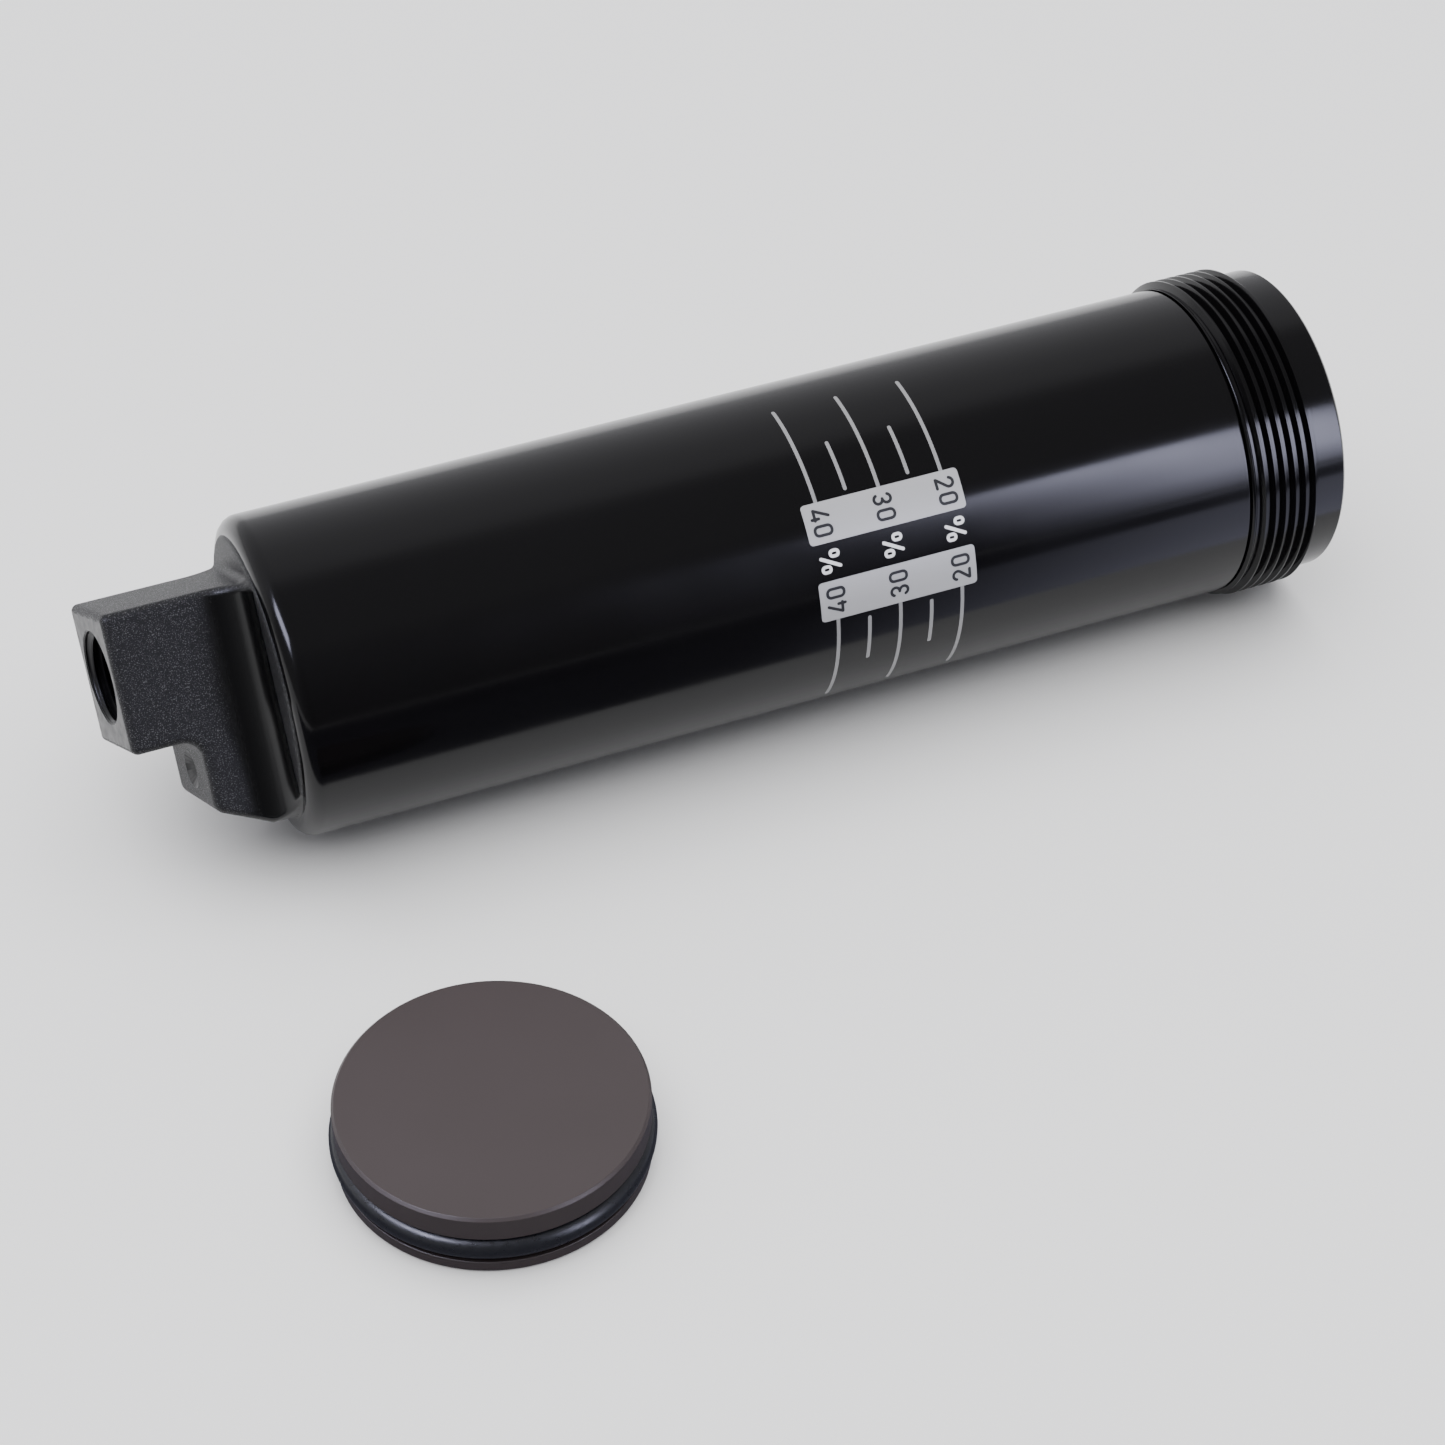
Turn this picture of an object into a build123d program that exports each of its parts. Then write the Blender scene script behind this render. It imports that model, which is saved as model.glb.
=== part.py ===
"""Hydraulic damper reservoir: a one-piece closed tube with a forged port lug, and its floating piston.

All sizes are in millimetres. The origin is the centre of the open mouth. +X points out of the mouth,
along the tube, and +Z is up as the tube lies on a flat surface. The lug is at the -X end. One floating
piston sits in the bore with its seal squeezed, and a spare one lies flat beside the tube.
"""
from build123d import *
import math
import os

# ---------------------------------------------------------------- driving dimensions
# Tube
TUBE_DIAMETER = 35.4
BORE_DIAMETER = 31.9
MOUTH_TO_SHOULDER = 120.0       # from the open mouth to where the closed end's rounding starts
SHOULDER_LENGTH = 1.95          # from there to the closed end's flat face
BOTTOM_THICKNESS = 4.6          # from the bore's bottom to the shoulder
SHOULDER_RADIUS = 1.9
BORE_CORNER_RADIUS = 2.0
MOUTH_LEAD_IN = 0.5             # chamfer inside the mouth, so that the seal can enter
MOUTH_EDGE = 0.3                # chamfer outside the mouth

# Outside thread M37 x 1.25 and the plain pilot ahead of it
THREAD_DIAMETER = 37.0
THREAD_PITCH = 1.25
THREAD_TURNS = 7
PILOT_DIAMETER = 34.8
PILOT_LENGTH = 3.7

# Forged boss and lug on the closed end
BOSS_DIAMETER = 31.2
BOSS_ACROSS_FLATS = 24.4        # the disc is cut off straight, front and back
BOSS_HEIGHT = 2.2
LUG_ROLL = 32.0                 # degrees that the lug is turned about the tube's axis
LUG_WIDTH = 13.4
LUG_TOP = 11.7                  # heights across the lug, from the tube's axis
LUG_UNDERSIDE = -3.5
STEP_UNDERSIDE = -11.2
FOOT_UNDERSIDE = -14.2
LUG_LENGTH = 18.2               # lengths along the lug, from the shoulder
STEP_LENGTH = 11.1
FOOT_LENGTH = 4.8
FACE_TILT = 5.5                 # degrees that the port face and its hole lean to the front
NOTCH_RADIUS = 2.0
LUG_EDGE_RADIUS = 0.6
ROOT_BITE = 0.1                 # how far the root's curve runs into the lug's side
ROOT_RADIUS = 4.6               # hollow curve between the lug's sides and the boss

# Hose port M10 x 1, drawn at its thread's minor diameter, and the oil passage behind it
PORT_HEIGHT = 4.4               # of the port's centre, across the lug
PORT_MINOR_DIAMETER = 8.92
PORT_MOUTH_DIAMETER = 10.5
PORT_CHAMFER = 0.8
PORT_DEPTH = 9.0
PASSAGE_DIAMETER = 4.0
DIMPLE_DIAMETER = 4.2           # drilled spot on the step's end
DIMPLE_DEPTH = 1.3
DIMPLE_HEIGHT = -7.6

# Floating piston and its O-ring
PISTON_DIAMETER = 31.74
PISTON_THICKNESS = 7.8
CROWN_LAND = 2.9                # from the flat face to the groove
SEAL_GROOVE_WIDTH = 3.4
SEAL_GROOVE_DIAMETER = 27.5
PISTON_EDGE = 0.3
DISH_DIAMETER = 22.0            # hollow on the gas side
DISH_DEPTH = 2.6
SEAL_SECTION = 2.62             # free thickness of the O-ring
SEAL_RUNNING_GAP = 0.03         # left between the squeezed O-ring and the bore
SEAL_SIDE_GAP = 0.02            # left between the O-ring and the bottom of its groove

# Places
PISTON_FACE_X = -72.0           # where the piston's flat face stands in the bore
SPARE_X = -115.6                # centre of the spare piston on the surface that the tube lies on
SPARE_Y = -56.0

# Standard proportion and working allowances
THREAD_DEPTH_PER_PITCH = 0.6134  # depth of an ISO metric outside thread
OVERLAP = 1.0                   # how far joined shapes run into each other, and cutters past a face
PASSAGE_OVERRUN = 0.5           # how far the oil passage runs into the bore
NEAR = 0.01                     # distance within which an edge counts as being at a place

# ---------------------------------------------------------------- sizes worked out from them
TUBE_RADIUS = TUBE_DIAMETER / 2
BORE_RADIUS = BORE_DIAMETER / 2
THREAD_DEPTH = THREAD_DEPTH_PER_PITCH * THREAD_PITCH
THREAD_LENGTH = THREAD_TURNS * THREAD_PITCH
CREST_RADIUS = THREAD_DIAMETER / 2
ROOT_OF_THREAD = CREST_RADIUS - THREAD_DEPTH
CREST_FLAT = THREAD_PITCH / 8
ROOT_FLAT = THREAD_PITCH / 4
PILOT_RADIUS = PILOT_DIAMETER / 2
BORE_BOTTOM_X = BOTTOM_THICKNESS - MOUTH_TO_SHOULDER
SHOULDER_X = -MOUTH_TO_SHOULDER
BOSS_FACE_X = SHOULDER_X - BOSS_HEIGHT
END_FACE_X = SHOULDER_X - SHOULDER_LENGTH
PORT_FACE_X = SHOULDER_X - LUG_LENGTH
STEP_FACE_X = SHOULDER_X - STEP_LENGTH
INSIDE_TUBE_X = SHOULDER_X + OVERLAP
TILT_PER_MM = math.tan(math.radians(FACE_TILT))
INTO_FACE = (math.cos(math.radians(FACE_TILT)), math.sin(math.radians(FACE_TILT)), 0)
SEAL_INNER_RADIUS = SEAL_GROOVE_DIAMETER / 2 + SEAL_SIDE_GAP
SQUEEZED_HEIGHT = BORE_RADIUS - SEAL_RUNNING_GAP - SEAL_INNER_RADIUS
SQUEEZED_WIDTH = SEAL_SECTION ** 2 / SQUEEZED_HEIGHT
SEAL_FROM_FACE = CROWN_LAND + SEAL_GROOVE_WIDTH / 2
FLOOR_Z = -CREST_RADIUS

os.makedirs("parts", exist_ok=True)


def turned(points):
    """A solid of revolution about the X axis, from its (x, radius) outline."""
    outline = Polyline([(x, r) for x, r in points], close=True)
    return revolve(make_face(outline), Axis.X)


def thread_outline():
    """The (x, radius) points of the outside thread's ridges, from the mouth towards the closed end."""
    flank = (THREAD_PITCH - CREST_FLAT - ROOT_FLAT) / 2
    points = []
    for turn in range(THREAD_TURNS):
        x = -PILOT_LENGTH - turn * THREAD_PITCH
        points.append((x, ROOT_OF_THREAD))
        points.append((x - flank, CREST_RADIUS))
        points.append((x - flank - CREST_FLAT, CREST_RADIUS))
        points.append((x - 2 * flank - CREST_FLAT, ROOT_OF_THREAD))
    return points


def tube():
    """The drawn tube with its shoulder, thread, pilot and mouth, still solid inside."""
    thread_end_x = -PILOT_LENGTH - THREAD_LENGTH
    outline = [(0, 0), (0, PILOT_RADIUS - MOUTH_EDGE), (-MOUTH_EDGE, PILOT_RADIUS)]
    outline.append((-PILOT_LENGTH, PILOT_RADIUS))
    outline += thread_outline()
    outline.append((thread_end_x, TUBE_RADIUS))
    outline.append((END_FACE_X, TUBE_RADIUS))
    outline.append((END_FACE_X, 0))
    solid = turned(outline)
    shoulder = solid.edges().filter_by(GeomType.CIRCLE).group_by(Axis.X)[0]
    return fillet(shoulder, SHOULDER_RADIUS)


def bore():
    """The space inside the tube, with the lead-in at the mouth."""
    lead_in_depth = MOUTH_LEAD_IN * 2
    space = turned([
        (OVERLAP, 0),
        (OVERLAP, BORE_RADIUS + MOUTH_LEAD_IN),
        (0, BORE_RADIUS + MOUTH_LEAD_IN),
        (-lead_in_depth, BORE_RADIUS),
        (BORE_BOTTOM_X, BORE_RADIUS),
        (BORE_BOTTOM_X, 0),
    ])
    bottom_edge = space.edges().filter_by(GeomType.CIRCLE).group_by(Axis.X)[0]
    return fillet(bottom_edge, BORE_CORNER_RADIUS)


def boss():
    """The forged disc with two flats that stands on the closed end and carries the lug, upright."""
    disc = turned([
        (INSIDE_TUBE_X, 0),
        (INSIDE_TUBE_X, BOSS_DIAMETER / 2),
        (BOSS_FACE_X, BOSS_DIAMETER / 2),
        (BOSS_FACE_X, 0),
    ])
    return disc & Pos(SHOULDER_X, 0, 0) * Box(BOSS_DIAMETER, BOSS_ACROSS_FLATS, BOSS_DIAMETER)


def root(side):
    """The hollow-curved root between the boss and one side of the lug: side is -1 in front, 1 behind."""
    top_x = BOSS_FACE_X - ROOT_RADIUS
    buried_x = BOSS_FACE_X + OVERLAP
    wall_y = side * (LUG_WIDTH / 2 - ROOT_BITE)
    buried_y = wall_y - side * OVERLAP
    reach_y = wall_y + side * ROOT_RADIUS
    outline = [
        Line((top_x, wall_y), (top_x, buried_y)),
        Line((top_x, buried_y), (buried_x, buried_y)),
        Line((buried_x, buried_y), (buried_x, reach_y)),
        Line((buried_x, reach_y), (BOSS_FACE_X, reach_y)),
        RadiusArc((BOSS_FACE_X, reach_y), (top_x, wall_y), side * ROOT_RADIUS),
    ]
    low_z = STEP_UNDERSIDE + 2 * LUG_EDGE_RADIUS
    height = LUG_TOP - 2 * LUG_EDGE_RADIUS - low_z
    prism = extrude(Pos(0, 0, low_z) * make_face(outline), height, dir=(0, 0, 1))
    envelope = Pos(BOSS_FACE_X, 0, 0) * Rot(0, 90, 0) * Cylinder(BOSS_DIAMETER / 2, BOSS_DIAMETER)
    return prism & envelope


def lug_side(y):
    """The lug's outline seen from the side, at one place y across it; the end faces lean with y."""
    lean = y * TILT_PER_MM
    corners = [
        (INSIDE_TUBE_X, y, LUG_TOP),
        (PORT_FACE_X - lean, y, LUG_TOP),
        (PORT_FACE_X - lean, y, LUG_UNDERSIDE),
        (STEP_FACE_X - lean, y, LUG_UNDERSIDE),
        (STEP_FACE_X - lean, y, STEP_UNDERSIDE),
        (SHOULDER_X - FOOT_LENGTH, y, FOOT_UNDERSIDE),
        (INSIDE_TUBE_X, y, FOOT_UNDERSIDE),
    ]
    return make_face(Polyline(corners, close=True))


def lug():
    """The forged lug, standing upright; its notch and outer edges are rounded."""
    solid = loft([lug_side(-LUG_WIDTH / 2), lug_side(LUG_WIDTH / 2)], ruled=True)
    notch = [
        edge for edge in solid.edges()
        if abs(edge.center().X - STEP_FACE_X) < NEAR and abs(edge.center().Z - LUG_UNDERSIDE) < NEAR
    ]
    solid = fillet(notch, NOTCH_RADIUS)
    rounded = [
        edge for edge in solid.edges()
        if edge.bounding_box().max.X < INSIDE_TUBE_X - NEAR and not runs_along_notch(edge)
    ]
    return fillet(rounded, LUG_EDGE_RADIUS)


def runs_along_notch(edge):
    """Whether a lug's edge is one of the two straight lines across it where the notch's curve ends."""
    centre = edge.center()
    in_notch = STEP_UNDERSIDE + NEAR < centre.Z < LUG_UNDERSIDE + NEAR
    past_curve = centre.X > PORT_FACE_X + NOTCH_RADIUS
    straight = edge.geom_type == GeomType.LINE
    return in_notch and past_curve and straight and abs(centre.Y) < NEAR


def port_cutters():
    """The tapped port, its chamfer and the oil passage, along the port's leaning axis, upright."""
    face = Plane(origin=(PORT_FACE_X, 0, PORT_HEIGHT), x_dir=(0, 0, 1), z_dir=INTO_FACE)
    mouth_radius = PORT_MOUTH_DIAMETER / 2
    minor_radius = PORT_MINOR_DIAMETER / 2
    passage_length = (LUG_LENGTH + BOTTOM_THICKNESS) / INTO_FACE[0] + PASSAGE_OVERRUN
    outline = Polyline([
        (0, -OVERLAP),
        (mouth_radius, -OVERLAP),
        (mouth_radius, 0),
        (minor_radius, PORT_CHAMFER),
        (minor_radius, PORT_DEPTH),
        (PASSAGE_DIAMETER / 2, PORT_DEPTH + minor_radius - PASSAGE_DIAMETER / 2),
        (PASSAGE_DIAMETER / 2, passage_length),
        (0, passage_length),
    ], close=True)
    upright = revolve(make_face(Plane.XZ * outline), Axis.Z)
    return face * upright


def dimple_cutter():
    """The drilled spot on the end of the step, upright."""
    spot = Cone(DIMPLE_DIAMETER / 2, 0, DIMPLE_DEPTH, align=(Align.CENTER, Align.CENTER, Align.MIN))
    face = Plane(origin=(STEP_FACE_X, 0, DIMPLE_HEIGHT), x_dir=(0, 0, 1), z_dir=INTO_FACE)
    return face * spot


def reservoir_body():
    """The whole one-piece reservoir, made with the lug upright and then rolled to where it lies."""
    solid = tube() + boss() + root(-1) + root(1) + lug()
    solid = solid - bore() - port_cutters() - dimple_cutter()
    return Rot(-LUG_ROLL, 0, 0) * solid


def piston():
    """A floating piston with its flat face at x = 0 and its dished gas side towards +X."""
    radius = PISTON_DIAMETER / 2
    groove_radius = SEAL_GROOVE_DIAMETER / 2
    groove_end = CROWN_LAND + SEAL_GROOVE_WIDTH
    return turned([
        (0, 0),
        (0, radius - PISTON_EDGE),
        (PISTON_EDGE, radius),
        (CROWN_LAND, radius),
        (CROWN_LAND, groove_radius),
        (groove_end, groove_radius),
        (groove_end, radius),
        (PISTON_THICKNESS - PISTON_EDGE, radius),
        (PISTON_THICKNESS, radius - PISTON_EDGE),
        (PISTON_THICKNESS, DISH_DIAMETER / 2),
        (PISTON_THICKNESS - DISH_DEPTH, DISH_DIAMETER / 2 - PISTON_EDGE),
        (PISTON_THICKNESS - DISH_DEPTH, 0),
    ])


def free_seal():
    """The O-ring at rest in its groove, round in section."""
    centre = Location((SEAL_FROM_FACE, SEAL_INNER_RADIUS + SEAL_SECTION / 2))
    return revolve(centre * Circle(SEAL_SECTION / 2), Axis.X)


def squeezed_seal():
    """The O-ring squeezed between its groove and the bore: lower and wider, with the same area."""
    centre = Location((SEAL_FROM_FACE, SEAL_INNER_RADIUS + SQUEEZED_HEIGHT / 2))
    return revolve(centre * Ellipse(SQUEEZED_WIDTH / 2, SQUEEZED_HEIGHT / 2), Axis.X)


def lying(shape):
    """Lay a piston or its seal flat, with the flat face up, beside the tube."""
    return Pos(SPARE_X, SPARE_Y, FLOOR_Z + PISTON_THICKNESS) * Rot(0, 90, 0) * shape


in_bore = Pos(PISTON_FACE_X, 0, 0)
nodes = {
    "reservoir_body": reservoir_body(),
    "floating_piston": in_bore * piston(),
    "floating_piston_o_ring": in_bore * squeezed_seal(),
    "spare_piston": lying(piston()),
    "spare_piston_o_ring": lying(free_seal()),
}

for name, shape in nodes.items():
    export_step(shape, f"parts/{name}.step")
    box = shape.bounding_box()
    print(name, "volume", round(shape.volume, 1), "from", box.min, "to", box.max)
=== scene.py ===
# %% [markdown]
# # A hydraulic damper reservoir
#
# The object is a black, hard-anodised aluminium tube. One end is closed by a forged lug with a tapped
# hose port. The other end is open and has an outside thread for a cap. Inside slides a floating piston
# with an O-ring, which keeps the oil apart from the gas. A second piston lies beside the tube.
#
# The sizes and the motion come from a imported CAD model, the frame. This file makes the looks around it:
# each piece is built as a finished mesh in the place that the frame gives it, and rides on a body.

# %% Load the frame
import math
from functools import partial

import bmesh
import bpy
import numpy as np
from mathutils import Matrix, Vector


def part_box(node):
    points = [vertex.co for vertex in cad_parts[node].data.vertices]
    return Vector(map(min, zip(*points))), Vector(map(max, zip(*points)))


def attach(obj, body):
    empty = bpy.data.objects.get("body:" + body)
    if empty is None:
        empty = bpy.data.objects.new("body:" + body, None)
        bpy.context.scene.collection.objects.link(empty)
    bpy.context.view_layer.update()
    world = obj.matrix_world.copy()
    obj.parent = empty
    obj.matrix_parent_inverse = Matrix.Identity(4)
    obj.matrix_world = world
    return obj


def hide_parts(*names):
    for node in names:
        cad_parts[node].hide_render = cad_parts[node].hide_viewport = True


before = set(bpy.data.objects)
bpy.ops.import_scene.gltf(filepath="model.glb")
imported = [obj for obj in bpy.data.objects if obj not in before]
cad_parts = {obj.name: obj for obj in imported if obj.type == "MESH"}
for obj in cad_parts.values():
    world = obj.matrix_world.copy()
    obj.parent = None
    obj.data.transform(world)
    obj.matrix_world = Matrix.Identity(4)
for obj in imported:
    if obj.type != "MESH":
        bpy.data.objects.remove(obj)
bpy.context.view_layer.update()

# %% [markdown]
# ## Sizes
#
# The design is in millimetres, and Blender works in metres, so lengths are written in millimetres and
# multiplied by `MM` when a mesh is made. The frame gives the outer sizes, and the rest are the design's
# own. The origin is the centre of the open mouth, +X points out of it and +Z is up.

# %% The reservoir's sizes
MM = 0.001
_, tube_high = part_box("reservoir_body")
CREST_RADIUS = tube_high.z / MM
FLOOR_Z = -CREST_RADIUS
TUBE_RADIUS = 17.7
PILOT_RADIUS = 17.4
BORE_RADIUS = 15.95
SHOULDER_X = -120.0
SHOULDER_LENGTH = 1.95
SHOULDER_RADIUS = 1.9
END_FACE_X = SHOULDER_X - SHOULDER_LENGTH
BORE_BOTTOM_X = -115.4
PILOT_LENGTH = 3.7
THREAD_PITCH = 1.25
THREAD_DEPTH = 0.6134 * THREAD_PITCH
THREAD_ROOT_RADIUS = CREST_RADIUS - THREAD_DEPTH
LUG_ROLL = math.radians(32.0)
FACE_TILT = math.radians(5.5)
print("tube radius", TUBE_RADIUS, "thread crest radius", round(CREST_RADIUS, 3))

# %% [markdown]
# ## Camera
#
# The view is a product shot from in front and above: the camera looks down at 42.6 degrees, through a
# long lens, so that the tube runs away to the right with little perspective. It is placed by the point
# it looks at, its heading, its pitch and its distance, which are easier to judge than a raw position.

# %% Camera
CAMERA_DISTANCE = 0.4036
CAMERA_HEADING = math.radians(68.11)
CAMERA_PITCH = math.radians(42.64)
CAMERA_LENS = 90.5
CAMERA_SENSOR = 36.0
look_at = Vector((-0.0728, -0.0107, -0.0140))


def add_object(name, data):
    """A new object with this data, linked into the scene."""
    made = bpy.data.objects.new(name, data)
    bpy.context.scene.collection.objects.link(made)
    return made


def make_camera():
    forward = Vector((
        math.cos(CAMERA_PITCH) * math.cos(CAMERA_HEADING),
        math.cos(CAMERA_PITCH) * math.sin(CAMERA_HEADING),
        -math.sin(CAMERA_PITCH),
    ))
    data = bpy.data.cameras.new("product_camera")
    data.lens = CAMERA_LENS
    data.sensor_width = CAMERA_SENSOR
    data.dof.use_dof = False
    camera = add_object("product_camera", data)
    camera.location = look_at - forward * CAMERA_DISTANCE
    camera.rotation_euler = forward.to_track_quat("-Z", "Y").to_euler()
    bpy.context.scene.camera = camera
    return camera


camera = make_camera()
print("camera at", [round(v, 4) for v in camera.location])

# %% [markdown]
# ## Studio
#
# Gloss black shows nothing but what it reflects, so the surroundings are the picture. The room is bright
# behind the object and darkens overhead and towards the camera, which gives the pale sheen along the
# top of the tube and keeps its middle black. A wide lamp overhead lights the floor and the matt pieces,
# and is kept out of the mirror reflections.
#
# Five cards do the rest, and only mirror reflections see them. The upright one at the front right gives
# the bright band by the mouth, and cuts off sharply at its upper edge. Three lie just above the floor in
# front of the tube: a pale, a dark and a bright one, which grade its lower side. The last stands out to
# the left and lights the shoulder.


# %% Helpers for node trees
def wire(tree, value, socket):
    """Links a socket's value to another socket, or sets a plain value on it."""
    if isinstance(value, bpy.types.NodeSocket):
        tree.links.new(value, socket)
    else:
        socket.default_value = value


def add_node(tree, kind, inputs, **settings):
    """A new node with these settings; each input, by its name or number, is set or linked."""
    made = tree.nodes.new(kind)
    for name, value in settings.items():
        setattr(made, name, value)
    for key, value in inputs.items():
        wire(tree, value, made.inputs[key])
    return made


def math_node(tree, operation, *values, clamp=False):
    """A Math node on plain values or sockets; returns its value socket."""
    inputs = dict(enumerate(values))
    made = add_node(tree, "ShaderNodeMath", inputs, operation=operation, use_clamp=clamp)
    return made.outputs["Value"]


def spread(tree, value, low, high, start=0.0, end=1.0):
    """Maps a value from start..end to low..high, held at both ends."""
    inputs = {"Value": value, "From Min": start, "From Max": end, "To Min": low, "To Max": high}
    return add_node(tree, "ShaderNodeMapRange", inputs).outputs["Result"]


def toward(tree, place, direction):
    """How far a point lies towards a direction, in metres, as a socket."""
    inputs = {0: place.outputs["Object"], 1: direction}
    reach = add_node(tree, "ShaderNodeVectorMath", inputs, operation="DOT_PRODUCT")
    return reach.outputs["Value"]


print("helpers for node trees are ready")

# %% Room
ROOM_STOPS = (
    (0.0, 0.20), (0.15, 0.34), (0.23, 0.48), (0.56, 0.50), (0.61, 0.66), (0.66, 1.00), (0.72, 1.10),
    (0.9, 1.05), (1.0, 0.95),
)
ROOM_TINT = (0.96, 0.96, 1.0)


def make_room():
    """A world that goes from dark in front of the object to bright behind it."""
    world = bpy.data.worlds.new("studio_room")
    bpy.context.scene.world = world
    world.use_nodes = True
    tree = world.node_tree
    direction = add_node(tree, "ShaderNodeTexCoord", {})
    split = add_node(tree, "ShaderNodeSeparateXYZ", {"Vector": direction.outputs["Generated"]})
    share = spread(tree, split.outputs["Y"], 0, 1, start=-1, end=1)
    ramp = add_node(tree, "ShaderNodeValToRGB", {"Fac": share})
    for place, _ in ROOM_STOPS[1:-1]:
        ramp.color_ramp.elements.new(place)
    for stop, (place, level) in zip(ramp.color_ramp.elements, ROOM_STOPS):
        stop.position = place
        stop.color = (*(level * tint for tint in ROOM_TINT), 1)
    tree.links.new(ramp.outputs["Color"], tree.nodes["Background"].inputs["Color"])


make_room()
print("room from", ROOM_STOPS[0][1], "in front to", ROOM_STOPS[-1][1], "behind")

# %% Overhead lamp
OVERHEAD_WATTS = 26
OVERHEAD_SIZE = 1.6


def soft_box(name, place, target, size, power):
    """A square area light at place, aimed at target and unseen by mirrors; lengths in metres."""
    data = bpy.data.lights.new(name, "AREA")
    data.shape = "RECTANGLE"
    data.size = size
    data.size_y = size
    data.energy = power
    light = add_object(name, data)
    light.location = place
    aim = Vector(target) - Vector(place)
    light.rotation_euler = aim.to_track_quat("-Z", "Y").to_euler()
    light.visible_glossy = False
    return light


overhead = soft_box(
    "overhead_fill", place=(-0.1, -0.1, 1.1), target=(-0.06, 0.0, 0.0), size=OVERHEAD_SIZE,
    power=OVERHEAD_WATTS,
)
print("overhead lamp", overhead.data.energy, "W")

# %% Cards for the reflections
CARD_TINT = (0.76, 0.77, 1.0)
CARD_SKEW = 0.475
CARD_Y = -0.85
CARD_HOVER = 0.1
LYING_LEFT, LYING_RIGHT = -0.3, 0.8
LYING_RISE = (-0.09, 0.0)
NO_RISE = (-10, -9)
LYING_CARDS = {
    "near_card": {"y_near": -0.034, "y_far": -0.112, "level": 2.8, "base": 0.2},
    "dark_card": {"y_near": -0.112, "y_far": -0.30, "level": 0.4, "base": 0.15},
    "far_card": {"y_near": -0.30, "y_far": -0.85, "level": 3.4, "base": 0.15},
}


def add_sheet(name, corners):
    """A flat sheet with these four corners."""
    mesh = bpy.data.meshes.new(name)
    mesh.from_pydata(corners, [], [(0, 1, 2, 3)])
    return add_object(name, mesh)


def make_card(name, corners, across, upward, level, base):
    """A card that only mirror reflections see.

    It brightens by level from base over two ranges in metres: across, which is the x range where y is
    0 and leans with y by CARD_SKEW, and upward in z. NO_RISE lies below every card, so it is even.
    """
    card = add_sheet(name, corners)
    material = bpy.data.materials.new(name + "_light")
    material.use_nodes = True
    tree = material.node_tree
    tree.nodes.remove(tree.nodes["Principled BSDF"])
    place = add_node(tree, "ShaderNodeTexCoord", {})
    to_the_right = spread(tree, toward(tree, place, (1, CARD_SKEW, 0)), 0, 1, *across)
    to_the_right.node.interpolation_type = "SMOOTHSTEP"
    to_the_top = spread(tree, toward(tree, place, (0, 0, 1)), 0, 1, *upward)
    both = math_node(tree, "MULTIPLY", to_the_right, to_the_top)
    strength = math_node(tree, "MULTIPLY_ADD", both, level, base)
    glow = add_node(tree, "ShaderNodeEmission", {"Color": (*CARD_TINT, 1), "Strength": strength})
    tree.links.new(glow.outputs["Emission"], tree.nodes["Material Output"].inputs["Surface"])
    card.data.materials.append(material)
    card.visible_camera = False
    card.visible_diffuse = False
    card.visible_shadow = False
    return card


def lying(y_near, y_far):
    """The corners of a card lying just above the floor, from one distance in front to another."""
    z = (FLOOR_Z + CARD_HOVER) * MM
    far_side = [(LYING_LEFT, y_far, z), (LYING_RIGHT, y_far, z)]
    return far_side + [(LYING_RIGHT, y_near, z), (LYING_LEFT, y_near, z)]


def standing(x_left, x_right, z_low, z_high):
    """The corners of the upright card, which faces the object."""
    ends = ((x_right, z_low), (x_left, z_low), (x_left, z_high), (x_right, z_high))
    return [(x, CARD_Y, z) for x, z in ends]


def facing(target, direction, distance, half_wide, half_tall):
    """The corners of a card out in a direction from the target, square to it."""
    outward = Vector(direction).normalized()
    level = outward.cross(Vector((0, 0, 1))).normalized()
    steep = level.cross(outward)
    middle = Vector(target) + outward * distance
    signs = ((-1, -1), (1, -1), (1, 1), (-1, 1))
    return [tuple(middle + level * (a * half_wide) + steep * (b * half_tall)) for a, b in signs]


make_card(
    "front_card", standing(x_left=0.235, x_right=0.52, z_low=0.0, z_high=0.74),
    across=(-0.124, 0.046), upward=(-0.10, 0.22), level=23, base=0.0,
)
for name, card in LYING_CARDS.items():
    corners = lying(card["y_near"], card["y_far"])
    make_card(name, corners, LYING_RISE, NO_RISE, card["level"], card["base"])
left_corners = facing(
    target=(-0.12, -0.01, 0.01), direction=(-0.6, -0.15, 0.75), distance=0.9, half_wide=0.26,
    half_tall=0.14,
)
make_card("left_card", left_corners, NO_RISE, NO_RISE, level=24, base=0.0)
print("cards:", 2 + len(LYING_CARDS))

# %% Floor
FLOOR_HALF = 3.0
FLOOR_COLOUR = (0.95, 0.95, 0.955)
FLOOR_ROUGHNESS = 0.8


def make_floor():
    """A wide pale floor under the crest of the thread, with no shine of its own."""
    half = FLOOR_HALF
    corners = [(-half, -half), (half, -half), (half, half), (-half, half)]
    floor = add_sheet("studio_floor", [(x, y, FLOOR_Z * MM) for x, y in corners])
    material = bpy.data.materials.new("pale_floor")
    material.use_nodes = True
    shader = material.node_tree.nodes["Principled BSDF"]
    shader.inputs["Base Color"].default_value = (*FLOOR_COLOUR, 1)
    shader.inputs["Roughness"].default_value = FLOOR_ROUGHNESS
    shader.inputs["Specular IOR Level"].default_value = 0
    floor.data.materials.append(material)
    return floor


floor = make_floor()
print("floor at", round(FLOOR_Z, 2), "mm")

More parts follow.
